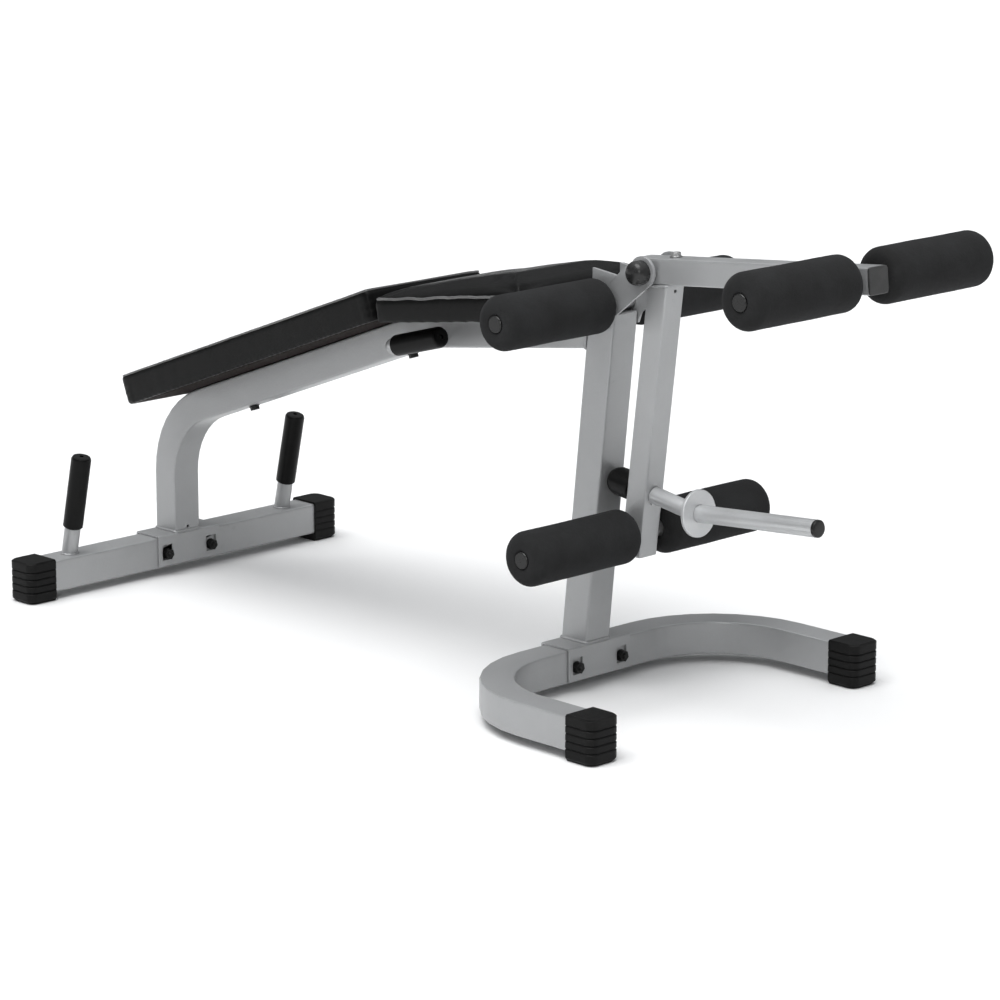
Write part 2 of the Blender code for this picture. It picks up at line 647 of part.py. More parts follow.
def build_rollers(lever):
    """Three through rods, each with two foam rollers and two end caps."""
    foam = [(ROLLER_IN, ROD_HOLE), (ROLLER_IN, ROLLER_R - ROLLER_EDGE),
            (ROLLER_IN + 1.5 * MM, ROLLER_R - 10 * MM), (ROLLER_IN + 5.5 * MM, ROLLER_R - 4.4 * MM),
            (ROLLER_IN + 10.5 * MM, ROLLER_R - 1.2 * MM), (ROLLER_IN + ROLLER_EDGE, ROLLER_R)]
    mirrored = [(ROLLER_IN + ROLLER_OUT - along, radius) for along, radius in foam[::-1]]
    ring = foam + mirrored + [foam[0]]
    for group, place, parent in (("knee", KNEE, None), ("upper", UPPER_ROLL, lever),
                                 ("lower", LOWER_ROLL, lever)):
        origin = (place[0], 0, place[1])
        rod = [(-ROD_END, ROD_R - BAR_WALL), (-ROD_END, ROD_R), (ROD_END, ROD_R),
               (ROD_END, ROD_R - BAR_WALL), (-ROD_END, ROD_R - BAR_WALL)]
        verts, faces = lathe(rod, origin, Y_AXIS, 24)
        make_object(group + "_roller_rod", verts, faces, STEEL, origin, parent)
        for name, sign in sides():
            verts, faces = lathe(ring, origin, Y_AXIS * sign, 32)
            make_object(group + "_roller_" + name, verts, faces, FOAM, origin, parent)
            inner = ROD_R - BAR_WALL - GAP
            cap = [(ROD_END - 14 * MM, inner), (ROD_END + GAP, inner), (ROD_END + GAP, ROD_R),
                   (ROD_END + 4 * MM, ROD_R), (ROD_END + 5.5 * MM, ROD_R - 1.5 * MM)]
            verts, faces = lathe(cap, origin, Y_AXIS * sign, 20)
            make_object(group + "_roller_cap_" + name, verts, faces, PLASTIC, origin, parent)


def slope_axes(angle):
    along = Vector((math.cos(angle), 0, math.sin(angle)))
    normal = Vector((-math.sin(angle), 0, math.cos(angle)))
    return along, normal


BACK_ANGLE = math.atan2(BEND_2[1] - BEND_1[1], BEND_2[0] - BEND_1[0])
SEAT_ANGLE = math.atan2(BEAM_END[1] - BEND_2[1], BEAM_END[0] - BEND_2[0])


def pad_rings(start, angle, length, half_w, levels):
    """Rounded slab on a slope from (height, inset, extra height at the front end) levels."""
    along, normal = slope_axes(angle)
    base = Vector((start[0], 0, start[1]))
    middle = base + along * (length / 2)
    rings = []
    for height, inset, *gain in levels:
        corner = max(PAD_CORNER - inset, 4 * MM)
        outline = rounded_outline(length / 2 - inset, half_w - inset, corner, 4)
        lift = gain[0] if gain else 0.0
        rings.append([middle + along * a + Y_AXIS * b
                      + normal * (height + lift * (a / length + 0.5)) for a, b in outline])
    return rings


def build_pads():
    board = [(GAP, 0.0), (BOARD, 0.0)]
    rise = BOARD + GAP
    pocket = BOARD_INSET - 0.4 * MM
    wrap = [(rise, pocket), (GAP, pocket), (GAP, 2 * MM), (3 * MM, 0.2 * MM), (rise, -0.6 * MM)]
    back_levels = wrap + [(rise + BACK_CUSHION - 4 * MM, -1 * MM), (rise + BACK_CUSHION, 0.2 * MM),
                          (rise + BACK_CUSHION + 2.5 * MM, 2.6 * MM),
                          (rise + BACK_CUSHION + 4.2 * MM, 8 * MM),
                          (rise + BACK_CUSHION + 6 * MM, 30 * MM)]
    top = rise + SEAT_CUSHION
    seat_levels = wrap + [(top - 4 * MM, -1 * MM, SEAT_LIFT), (top, 0.2 * MM, SEAT_LIFT)]
    for inset, share in ((1.5, 0.18), (3.5, 0.38), (7, 0.56), (13, 0.74), (26, 0.91), (52, 1.0)):
        seat_levels.append((top + SEAT_CROWN * share, inset * MM,
                            SEAT_LIFT + SEAT_FRONT_CROWN * share))
    for name, start, angle, length, half_w, levels in (
            ("back_pad", BACK_START, BACK_ANGLE, BACK_LENGTH, BACK_HALF_W, back_levels),
            ("seat_pad", SEAT_START, SEAT_ANGLE, SEAT_LENGTH, SEAT_HALF_W, seat_levels)):
        inset_start = Vector((start[0], 0, start[1])) + slope_axes(angle)[0] * BOARD_INSET
        rings = pad_rings((inset_start.x, inset_start.z), angle, length - 2 * BOARD_INSET,
                          half_w - BOARD_INSET, board)
        origin = (start[0], 0, start[1])
        panel = make_object(name + "_board", *stitch(rings), BOARD_LOOK, origin)
        for bolt, (place, down) in pad_bolt_places().items():
            if bolt.startswith(name):
                hole = lathe([(-0.02, 4.0 * MM), (7 * MM, 4.0 * MM)], place, -down, 12)
                cut(panel, make_cutter("board_hole_" + bolt, *hole))
        rings = pad_rings(start, angle, length, half_w, levels)
        make_object(name + "_cushion", *stitch(rings), VINYL, origin)


def pad_bolt_places():
    """Name -> (point on the beam's upper face, direction the head points)."""
    places = {}
    along, normal = slope_axes(BACK_ANGLE)
    base = Vector((BACK_START[0], 0, BACK_START[1]))
    for tag, reach in (("rear", 165 * MM), ("front", 560 * MM)):
        places["back_pad_bolt_" + tag] = (base + along * reach, -normal)
    along, normal = slope_axes(SEAT_ANGLE)
    base = Vector((SEAT_START[0], 0, SEAT_START[1]))
    for tag, reach in (("rear", 75 * MM), ("front", 235 * MM)):
        places["seat_pad_bolt_" + tag] = (base + along * reach, -normal)
    return places


def build_pad_bolts():
    """Back pad bolts run right through the beam; seat bolts sit inside it."""
    for name, (place, down) in pad_bolt_places().items():
        under = TUBE + 1.0 * MM if name.startswith("back") else WALL + 1.0 * MM
        profile = [(-6 * MM, 3.0 * MM), (-5 * MM, 3.6 * MM), (under, 3.6 * MM), (under, 8.5 * MM),
                   (under + 1.6 * MM, 8.5 * MM), (under + 1.6 * MM, 7.4 * MM),
                   (under + 7 * MM, 7.4 * MM)]
        verts, faces = lathe(profile, place, down, 12, hexed=(5, 6))
        make_object(name, verts, faces, DARK_STEEL, place)


def grip_profile(length, bore):
    """Foam hand grip over a bar, with a small vent in its closed end."""
    return [(0.0, bore), (0.0, GRIP_R - 2 * MM), (2 * MM, GRIP_R), (length - 5 * MM, GRIP_R),
            (length - 1.5 * MM, GRIP_R - 1.7 * MM), (length, GRIP_R - 5 * MM), (length, 3.5 * MM),
            (length - 4 * MM, 3.5 * MM), (length - 4 * MM, bore), (0.0, bore)]


def build_rear_grips():
    """Leaning posts on the rear base with foam grips, for lying leg curls."""
    lean = Vector((math.sin(GRIP_LEAN), 0, math.cos(GRIP_LEAN)))
    bar_length = 164 * MM
    for name, sign in sides():
        foot = Vector((0, sign * GRIP_POST_Y, BASE_TOP + GAP))
        path = [(foot, lean), (foot + lean * bar_length, lean)]
        outline = circle_outline(BAR_R, 20)
        inner = circle_outline(BAR_R - BAR_WALL, 20)

        def level(ring_outline):
            ring = sweep([path[0]], Y_AXIS, ring_outline)[0]
            return [p + lean * ((foot.z - p.z) / lean.z) for p in ring]

        rings = [level(outline), sweep([path[1]], Y_AXIS, outline)[0],
                 sweep([path[1]], Y_AXIS, inner)[0], level(inner)]
        make_object("rear_grip_post_" + name, *stitch(rings, closed=True), SILVER, foot)
        start = foot + lean * (46 * MM)
        profile = grip_profile(122.5 * MM, BAR_R + GAP)
        make_object("rear_grip_" + name, *lathe(profile, start, lean, 24), FOAM, start)


def build_seat_handles():
    """L-shaped bars on the sides of the beam, with foam grips pointing forward."""
    along, _ = slope_axes(HANDLE_ANGLE)
    for name, sign in sides():
        corner = Vector((HANDLE_CORNER[0], sign * HANDLE_Y, HANDLE_CORNER[1]))
        root = Vector((corner.x, sign * (HALF + GAP), corner.z))
        tip = corner + along * HANDLE_LENGTH
        path = filleted([root, corner, tip], [HANDLE_BEND_R], math.radians(18))
        up = (corner - root).cross(tip - corner).normalized()
        verts, faces = round_tube(path, up, BAR_R, BAR_WALL)
        make_object("seat_handle_bar_" + name, verts, faces, SILVER, root)
        start = corner + along * (HANDLE_BEND_R + 1.5 * MM)
        profile = grip_profile((tip - start).length + 4.3 * MM, BAR_R + GAP)
        make_object("seat_handle_grip_" + name, *lathe(profile, start, along, 24), FOAM, start)


def centre_bench():
    """Hang every loose object on one empty that brings the bench over the world origin."""
    root = bpy.data.objects.new("bench", None)
    bpy.context.scene.collection.objects.link(root)
    root.location = (-CENTRE_X, 0, 0)
    for obj in bpy.data.objects:
        if obj.parent is None and obj != root:
            obj.parent = root


def main():
    clear_scene()
    lever = bpy.data.objects.new("lever_pivot", None)
    bpy.context.scene.collection.objects.link(lever)
    lever.location = (PIVOT[0], 0, PIVOT[1])
    build_rear_base()
    build_front_base()
    build_feet()
    build_saddle("rear_saddle", 0.0)
    build_saddle("front_saddle", FRONT_X)
    build_saddle_bolts("rear", 0.0)
    build_saddle_bolts("front", FRONT_X)
    build_main_frame()
    build_front_post()
    build_pivot()
    build_hub(lever)
    build_lever_arms(lever)
    build_bumper(lever)
    build_weight_peg(lever)
    build_rollers(lever)
    build_pads()
    build_pad_bolts()
    build_rear_grips()
    build_seat_handles()
    centre_bench()


main()
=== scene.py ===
"""Looks of a plate-loaded leg extension / leg curl bench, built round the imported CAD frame."""

import math

import bpy
import numpy as np
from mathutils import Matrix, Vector, noise
from mathutils.bvhtree import BVHTree


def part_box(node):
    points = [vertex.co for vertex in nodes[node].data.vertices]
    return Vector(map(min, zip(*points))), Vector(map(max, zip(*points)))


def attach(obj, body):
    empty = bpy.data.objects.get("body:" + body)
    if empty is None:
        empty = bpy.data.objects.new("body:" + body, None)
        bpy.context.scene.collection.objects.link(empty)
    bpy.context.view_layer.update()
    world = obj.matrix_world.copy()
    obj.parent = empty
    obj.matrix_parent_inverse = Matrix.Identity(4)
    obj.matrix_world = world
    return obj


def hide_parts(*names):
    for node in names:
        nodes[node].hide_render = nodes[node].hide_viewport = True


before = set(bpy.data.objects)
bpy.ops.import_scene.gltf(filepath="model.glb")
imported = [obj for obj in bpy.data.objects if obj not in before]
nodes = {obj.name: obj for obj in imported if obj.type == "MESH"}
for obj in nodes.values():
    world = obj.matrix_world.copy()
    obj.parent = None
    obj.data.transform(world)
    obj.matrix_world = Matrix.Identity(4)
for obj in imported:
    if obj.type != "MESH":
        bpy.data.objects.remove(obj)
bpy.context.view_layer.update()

MM = 0.001
Y_AXIS = Vector((0, 1, 0))
Z_AXIS = Vector((0, 0, 1))
SIDES = (("right", -1), ("left", 1))


# ---------------------------------------------------------------- materials

class Tree:
    """Short way to write a material's node tree."""

    def __init__(self, name):
        self.mat = bpy.data.materials.new(name)
        self.mat.use_nodes = True
        self.nt = self.mat.node_tree
        self.nt.nodes.clear()
        self.out = self.nt.nodes.new("ShaderNodeOutputMaterial")
        self.shader = self.nt.nodes.new("ShaderNodeBsdfPrincipled")
        self.link(self.shader.outputs["BSDF"], self.out.inputs["Surface"])
        self.place = self.nt.nodes.new("ShaderNodeTexCoord").outputs["Object"]

    def link(self, a, b):
        self.nt.links.new(a, b)

    def put(self, value, socket):
        if isinstance(value, bpy.types.NodeSocket):
            self.link(value, socket)
        else:
            socket.default_value = value

    def stretched(self, scale):
        node = self.nt.nodes.new("ShaderNodeMapping")
        node.inputs["Scale"].default_value = scale
        self.link(self.place, node.inputs["Vector"])
        return node.outputs["Vector"]

    def noise(self, scale, detail=2.0, rough=0.5, place=None, distort=0.0):
        node = self.nt.nodes.new("ShaderNodeTexNoise")
        node.inputs["Scale"].default_value = scale
        node.inputs["Detail"].default_value = detail
        node.inputs["Roughness"].default_value = rough
        node.inputs["Distortion"].default_value = distort
        self.link(place or self.place, node.inputs["Vector"])
        return node.outputs["Fac"]

    def cells(self, scale, feature="F1", randomness=1.0, place=None):
        node = self.nt.nodes.new("ShaderNodeTexVoronoi")
        node.feature = feature
        node.inputs["Scale"].default_value = scale
        node.inputs["Randomness"].default_value = randomness
        self.link(place or self.place, node.inputs["Vector"])
        return node.outputs["Distance"]

    def ramp(self, fac, low, high, to_low=0.0, to_high=1.0):
        node = self.nt.nodes.new("ShaderNodeMapRange")
        node.interpolation_type = "SMOOTHSTEP"
        self.put(fac, node.inputs["Value"])
        for key, value in (("From Min", low), ("From Max", high), ("To Min", to_low), ("To Max", to_high)):
            node.inputs[key].default_value = value
        return node.outputs["Result"]

    def math(self, kind, a, b=0.0):
        node = self.nt.nodes.new("ShaderNodeMath")
        node.operation = kind
        self.put(a, node.inputs[0])
        self.put(b, node.inputs[1])
        return node.outputs[0]

    def mix(self, fac, a, b):
        node = self.nt.nodes.new("ShaderNodeMix")
        node.data_type = "RGBA"
        self.put(fac, node.inputs["Factor"])
        self.put(a if isinstance(a, bpy.types.NodeSocket) else (*a, 1), node.inputs[6])
        self.put(b if isinstance(b, bpy.types.NodeSocket) else (*b, 1), node.inputs[7])
        return node.outputs[2]

    def bump(self, *layers):
        """Bump from (height, distance in metres) layers."""
        normal = None
        for height, distance in layers:
            node = self.nt.nodes.new("ShaderNodeBump")
            node.inputs["Strength"].default_value = 1.0
            node.inputs["Distance"].default_value = distance
            self.link(height, node.inputs["Height"])
            if normal is not None:
                self.link(normal, node.inputs["Normal"])
            normal = node.outputs["Normal"]
        self.link(normal, self.shader.inputs["Normal"])

    def set(self, **values):
        for key, value in values.items():
            self.put(value, self.shader.inputs[key.replace("_", " ")])


def grey(value, warmth=0.0):
    """Near-neutral colour; warmth shifts it towards red, or towards blue when negative."""
    return (value * (1 + warmth), value, value * (1 - warmth))


def paint_material(name, tone, metallic, rough):
    """Silver powder coat: orange peel, fine flake, faint clouding, handling marks."""
    t = Tree(name)
    cloud = t.noise(9, 3, 0.55)
    flake = t.cells(1500)
    marks = t.noise(42, 4, 0.65, distort=1.2)
    base = t.mix(t.ramp(cloud, 0.3, 0.7), grey(tone * 0.95, -0.012), grey(tone * 1.04, -0.012))
    base = t.mix(t.ramp(flake, 0.15, 0.6, 0.16, 0.0), base, grey(tone * 1.6, -0.01))
    base = t.mix(t.ramp(marks, 0.62, 0.80, 0.0, 0.22), base, grey(tone * 0.62))
    t.set(Base_Color=base, Metallic=metallic, Coat_Weight=0.22, Coat_Roughness=0.28)
    t.set(Roughness=t.math("ADD", t.ramp(cloud, 0.3, 0.7, rough - 0.04, rough + 0.04),
                           t.ramp(marks, 0.60, 0.80, 0.0, 0.12)))
    t.bump((t.noise(260, 2), 0.00022), (t.noise(1100, 2), 0.00005))
    return t.mat


def steel_material(name, tone, rough, streak_along=(1, 1, 1)):
    """Machined or plated steel with drawn streaks and faint stains."""
    t = Tree(name)
    streaks = t.noise(60, 3, 0.6, t.stretched(streak_along))
    stain = t.noise(35, 4, 0.6)
    base = t.mix(t.ramp(streaks, 0.3, 0.7), grey(tone * 0.9), grey(tone * 1.06))
    base = t.mix(t.ramp(stain, 0.6, 0.85, 0.0, 0.3), base, grey(tone * 0.5, 0.04))
    t.set(Base_Color=base, Metallic=0.85)
    t.set(Roughness=t.ramp(streaks, 0.25, 0.75, rough - 0.06, rough + 0.09))
    t.bump((streaks, 0.00006), (t.noise(900, 2), 0.00003))
    return t.mat


def dark_metal_material(name, tone, rough):
    """Black oxide fasteners: uneven oxide with rubbed corners."""
    t = Tree(name)
    mottle = t.noise(220, 3, 0.6)
    rub = t.noise(90, 3, 0.7)
    base = t.mix(t.ramp(mottle, 0.35, 0.65), grey(tone * 0.7), grey(tone * 1.3))
    base = t.mix(t.ramp(rub, 0.62, 0.78, 0.0, 0.5), base, grey(tone * 3.2))
    t.set(Base_Color=base, Metallic=0.7)
    t.set(Roughness=t.ramp(mottle, 0.3, 0.7, rough - 0.08, rough + 0.1))
    t.bump((mottle, 0.00008))
    return t.mat


def vinyl_material(name, tone=1.0, coat=0.12):
    """Glossy black upholstery vinyl: leather grain in cells, soft scuffs, faint dust.

    The tone multiplies the vinyl's own black; the piping's large tone paints a highlight into its colour, a
    light line along the seam."""
    t = Tree(name)
    warp = t.noise(60, 2)
    grain = t.cells(620, "DISTANCE_TO_EDGE", 0.9)
    pores = t.cells(1500)
    scuff = t.noise(14, 5, 0.65, distort=0.8)
    dust = t.noise(5, 3)
    base = t.mix(t.ramp(scuff, 0.45, 0.8), grey(0.0050 * tone), grey(0.0085 * tone))
    base = t.mix(t.ramp(dust, 0.5, 0.85, 0.0, 0.35), base, grey(0.014 * tone, 0.02))
    base = t.mix(t.ramp(grain, 0.0, 0.12, 0.35, 0.0), base, grey(0.002))
    t.set(Base_Color=base, Coat_Weight=coat, Coat_Roughness=0.18, Specular_IOR_Level=0.12)
    t.set(Roughness=t.math("ADD", t.ramp(scuff, 0.35, 0.8, 0.27, 0.42), t.ramp(pores, 0.2, 0.7, 0.0, 0.06)))
    t.bump((t.noise(24, 2), 0.0004), (t.ramp(grain, 0.0, 0.25), 0.00011),
           (t.math("ADD", pores, warp), 0.00006))
    return t.mat


def foam_material(name, tone):
    """Matte closed-cell foam: pitted skin, fine fuzz, pressed and dusty patches."""
    t = Tree(name)
    pits = t.cells(900)
    cells = t.cells(380, "F1", 1.0)
    fuzz = t.noise(2200, 2)
    patch = t.noise(16, 4, 0.6)
    base = t.mix(t.ramp(patch, 0.3, 0.75), grey(tone * 0.85), grey(tone * 1.25, -0.02))
    base = t.mix(t.ramp(pits, 0.05, 0.35, 0.5, 0.0), base, grey(tone * 0.45))
    base = t.mix(t.ramp(fuzz, 0.55, 0.8, 0.0, 0.35), base, grey(tone * 2.1))
    t.set(Base_Color=base, Sheen_Weight=0.06, Sheen_Roughness=0.6, Specular_IOR_Level=0.12)
    t.set(Sheen_Tint=(0.55, 0.55, 0.58, 1))
    t.set(Roughness=t.ramp(patch, 0.3, 0.75, 0.82, 0.95))
    t.bump((t.noise(45, 3), 0.0008), (cells, 0.0003), (pits, 0.0002))
    return t.mat


def rubber_material(name, tone, rough, grain=700):
    """Moulded rubber: fine mould texture, bloom in patches, flow marks."""
    t = Tree(name)
    skin = t.cells(grain)
    bloom = t.noise(22, 4, 0.6)
    flow = t.noise(30, 2, 0.5, t.stretched((1, 1, 5)))
    base = t.mix(t.ramp(bloom, 0.35, 0.75), grey(tone * 0.8), grey(tone * 1.5, 0.02))
    base = t.mix(t.ramp(flow, 0.55, 0.8, 0.0, 0.3), base, grey(tone * 2.0))
    t.set(Base_Color=base, Specular_IOR_Level=0.10, Coat_Weight=0.20, Coat_Roughness=0.22)
    t.set(Roughness=t.math("ADD", t.ramp(bloom, 0.3, 0.75, rough - 0.06, rough + 0.1),
                           t.ramp(skin, 0.1, 0.6, 0.0, 0.05)))
    t.bump((bloom, 0.0003), (skin, 0.00012))
    return t.mat


def plastic_material(name, tone, rough):
    """Moulded black plastic with a spark-eroded skin and light scratches."""
    t = Tree(name)
    skin = t.noise(1300, 2)
    haze = t.noise(28, 4, 0.6)
    scratch = t.noise(90, 5, 0.75, t.stretched((1, 6, 1)))
    base = t.mix(t.ramp(haze, 0.35, 0.7), grey(tone * 0.85), grey(tone * 1.3))
    base = t.mix(t.ramp(scratch, 0.66, 0.74, 0.0, 0.4), base, grey(tone * 2.4))
    t.set(Base_Color=base, Specular_IOR_Level=0.5)
    t.set(Roughness=t.ramp(haze, 0.3, 0.7, rough - 0.05, rough + 0.08))
    t.bump((haze, 0.00025), (skin, 0.00005))
    return t.mat


def board_material(name):
    """Dark stained chipboard: pressed flakes, rough cut edge."""
    t = Tree(name)
    chips = t.cells(300, "F1", 1.0, t.stretched((1, 1, 3)))
    fibre = t.noise(160, 4, 0.6, t.stretched((1, 1, 6)))
    base = t.mix(t.ramp(fibre, 0.3, 0.7), (0.0060, 0.0038, 0.0032), (0.0170, 0.0095, 0.0075))
    base = t.mix(t.ramp(chips, 0.1, 0.6, 0.45, 0.0), base, (0.0300, 0.0170, 0.0125))
    t.set(Base_Color=base, Specular_IOR_Level=0.2, Roughness=t.ramp(fibre, 0.3, 0.7, 0.62, 0.85))
    t.bump((fibre, 0.0004), (chips, 0.0003))
    return t.mat


PAINT = paint_material("silver_paint", 0.40, 0.35, 0.40)
PEG_PAINT = paint_material("peg_paint", 0.56, 0.45, 0.34)
STEEL = steel_material("plain_steel", 0.55, 0.30, (1, 0.15, 1))
ZINC = steel_material("zinc_bolt", 0.42, 0.36)
OXIDE = dark_metal_material("black_bolt", 0.030, 0.38)
VINYL = vinyl_material("black_vinyl")
# Piping vinyl: the tone of 24 is a painted highlight, a light grey line painted into the colour where the
# edge only catches light.
WELT_PAINTED_HIGHLIGHT = vinyl_material("welt_vinyl_painted_highlight", 24.0, 1.0)
FOAM = foam_material("black_foam", 0.026)
FOOT = rubber_material("foot_rubber", 0.0085, 0.46)
GRIP = rubber_material("grip_rubber", 0.0050, 0.33, 1100)
BUMPER = rubber_material("bumper_rubber", 0.010, 0.42)
PLASTIC = plastic_material("black_plastic", 0.0130, 0.27)
CAP_BLACK = plastic_material("cap_plastic", 0.0240, 0.22)
CAP_GREY = plastic_material("grey_plastic", 0.050, 0.40)
BOARD = board_material("pad_board")


# ---------------------------------------------------------------- helpers

MERGE_GAP = 0.01 * MM


def smooth_group():
    """Node group for CAD meshes: joins split corners and drops the stored normals."""
    group = bpy.data.node_groups.new("join_and_smooth", "GeometryNodeTree")
    group.interface.new_socket("Geometry", in_out="INPUT", socket_type="NodeSocketGeometry")
    group.interface.new_socket("Geometry", in_out="OUTPUT", socket_type="NodeSocketGeometry")
    enter = group.nodes.new("NodeGroupInput")
    leave = group.nodes.new("NodeGroupOutput")
    merge = group.nodes.new("GeometryNodeMergeByDistance")
    merge.inputs["Distance"].default_value = MERGE_GAP
    drop = group.nodes.new("GeometryNodeRemoveAttribute")
    drop.inputs["Name"].default_value = "custom_normal"
    group.links.new(enter.outputs[0], merge.inputs["Geometry"])
    group.links.new(merge.outputs[0], drop.inputs["Geometry"])
    group.links.new(drop.outputs[0], leave.inputs[0])
    return group


JOIN = smooth_group()
SHARP_EDGE = math.radians(38)
FLAT_ENOUGH = math.radians(0.4)


def finish_cad(name, material, bevel):
    """Material, joined corners, fine bevels and weighted normals on a kept CAD node."""
    obj = nodes[name]
    obj.data.materials.clear()
    obj.data.materials.append(material)
    join = obj.modifiers.new("join", "NODES")
    join.node_group = JOIN
    flat = obj.modifiers.new("flat", "DECIMATE")
    flat.decimate_type = "DISSOLVE"
    flat.angle_limit = FLAT_ENOUGH
    soft = obj.modifiers.new("edge", "BEVEL")
    soft.width = bevel
    soft.segments = 2
    soft.limit_method = "ANGLE"
    soft.angle_limit = SHARP_EDGE
    soft.miter_outer = "MITER_ARC"
    soft.use_clamp_overlap = True
    for polygon in obj.data.polygons:
        polygon.use_smooth = True
    even = obj.modifiers.new("even", "WEIGHTED_NORMAL")
    even.keep_sharp = True
    even.weight = 80


def add_piece(name, verts, faces, material, body):
    """New smooth-shaded piece that rides on a body."""
    mesh = bpy.data.meshes.new(name)
    mesh.from_pydata([tuple(v) for v in verts], [], faces)
    mesh.validate()
    mesh.update()
    mesh.materials.append(material)
    for polygon in mesh.polygons:
        polygon.use_smooth = True
    obj = bpy.data.objects.new(name, mesh)
    bpy.context.scene.collection.objects.link(obj)
    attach(obj, body)
    return obj


def mesh_points(mesh):
    flat = np.empty(len(mesh.vertices) * 3, np.float32)
    mesh.vertices.foreach_get("co", flat)
    return flat.reshape(-1, 3).astype(float)


def points_of(node):
    return mesh_points(nodes[node].data)


def convex_loop(flat):
    """Counter-clockwise convex outline of 2-D points."""
    pts = sorted(set((round(float(a), 6), round(float(b), 6)) for a, b in flat))

    def half(seq):
        made = []
        for p in seq:
            while len(made) > 1 and ((made[-1][0] - made[-2][0]) * (p[1] - made[-2][1])
                                     - (made[-1][1] - made[-2][1]) * (p[0] - made[-2][0])) <= 1e-12:
                made.pop()
            made.append(p)
        return made[:-1]
    return half(pts) + half(pts[::-1])


END_DEPTH = 0.06 * MM
RING_DEPTH = 0.1 * MM


def end_loop(node, direction):
    """Outline of a node's flat end that faces a direction, and that direction's unit vector."""
    d = Vector(direction).normalized()
    pts = points_of(node)
    reach = pts @ np.array(d)
    flat = pts[reach > reach.max() - END_DEPTH]
    u = d.orthogonal().normalized()
    v = d.cross(u)
    centre = Vector(((flat.min(0) + flat.max(0)) / 2).tolist())
    local = (flat - np.array(centre)) @ np.array([u, v]).T
    loop = convex_loop(local)
    return [centre + u * a + v * b for a, b in loop], d


def resample(points, step):
    """Evenly spaced points along a closed polyline."""
    pts = list(points) + [points[0]]
    lengths = [0.0]
    for a, b in zip(pts, pts[1:]):
        lengths.append(lengths[-1] + (b - a).length)
    count = max(4, round(lengths[-1] / step))
    made = []
    k = 0
    for i in range(count):
        s = lengths[-1] * i / count
        while k < len(pts) - 2 and lengths[k + 1] < s:
            k += 1
        span = lengths[k + 1] - lengths[k]
        f = (s - lengths[k]) / span if span > 0 else 0.0
        made.append(pts[k].lerp(pts[k + 1], min(1.0, max(0.0, f))))
    return made


def ring_faces(rows, sides):
    """Quads of a closed tube whose points come row by row."""
    made = []
    for i in range(rows):
        j = (i + 1) % rows
        for k in range(sides):
            m = (k + 1) % sides
            made.append((i * sides + k, j * sides + k, j * sides + m, i * sides + m))
    return made


# ---------------------------------------------------------------- kept CAD nodes

def side_names(*stems):
    return ["%s_%s" % (stem, side) for stem in stems for side, _ in SIDES]


KEPT = (
    (PAINT, 0.6 * MM, ["rear_base_tube", "front_base_tube", "rear_saddle", "front_saddle", "main_frame",
                       "front_post", "lever_hub", "upper_lever_tube", "lower_lever_tube"]
     + side_names("pivot_plate", "rear_grip_post", "seat_handle_bar")),
    (PEG_PAINT, 0.4 * MM, ["weight_peg", "peg_collar"]),
    (STEEL, 0.3 * MM, ["knee_roller_rod", "upper_roller_rod", "lower_roller_rod", "pivot_axle"]),
    (ZINC, 0.35 * MM, ["lever_top_bolt"]),
    (OXIDE, 0.35 * MM, ["back_pad_bolt_front", "back_pad_bolt_rear", "seat_pad_bolt_front",
                        "seat_pad_bolt_rear"] + side_names("rear_bolt", "front_bolt")),
    (FOOT, 1.0 * MM, side_names("rear_foot", "front_foot")),
    (BUMPER, 0.5 * MM, ["lever_bumper"]),
    (GRIP, 0.4 * MM, side_names("rear_grip", "seat_handle_grip")),
    (PLASTIC, 0.4 * MM, ["peg_end_cap"]
     + side_names("knee_roller_cap", "upper_roller_cap", "lower_roller_cap")),
    (CAP_BLACK, 0.6 * MM, side_names("pivot_cap")),
    (CAP_GREY, 0.5 * MM, ["upper_lever_cap"]),
    (BOARD, 0.8 * MM, ["back_pad_board", "seat_pad_board"]),
)
for look, width, names in KEPT:
    for node_name in names:
        finish_cad(node_name, look, width)


# ---------------------------------------------------------------- welds

WELD_STEP = 0.8 * MM
RIPPLE = 2.6 * MM
WELD_SIDES = 8
LEVER_LEAN = math.radians(5.43)
PEG_RISE = math.radians(7)


def weld(name, loop, body, radius, lift, material=PAINT):
    """Rippled weld bead round a tube's end; the loop is what end_loop gives."""
    points, facing = loop
    line = resample(points, WELD_STEP)
    count = len(line)
    n = -facing
    verts = []
    for i, p in enumerate(line):
        along = (line[(i + 1) % count] - line[i - 1]).normalized()
        out = along.cross(n).normalized()
        wobble = noise.noise(p * 260.0)
        phase = (i * WELD_STEP / RIPPLE + 0.25 * wobble) % 1.0
        r = radius * (1.0 + 0.10 * (1 - phase) + 0.14 * wobble)
        c = p + n * lift
        for k in range(WELD_SIDES):
            a = 2 * math.pi * k / WELD_SIDES
            verts.append(c + out * (r * math.cos(a)) + n * (r * 0.85 * math.sin(a)))
    add_piece(name, verts, ring_faces(count, WELD_SIDES), material, body)


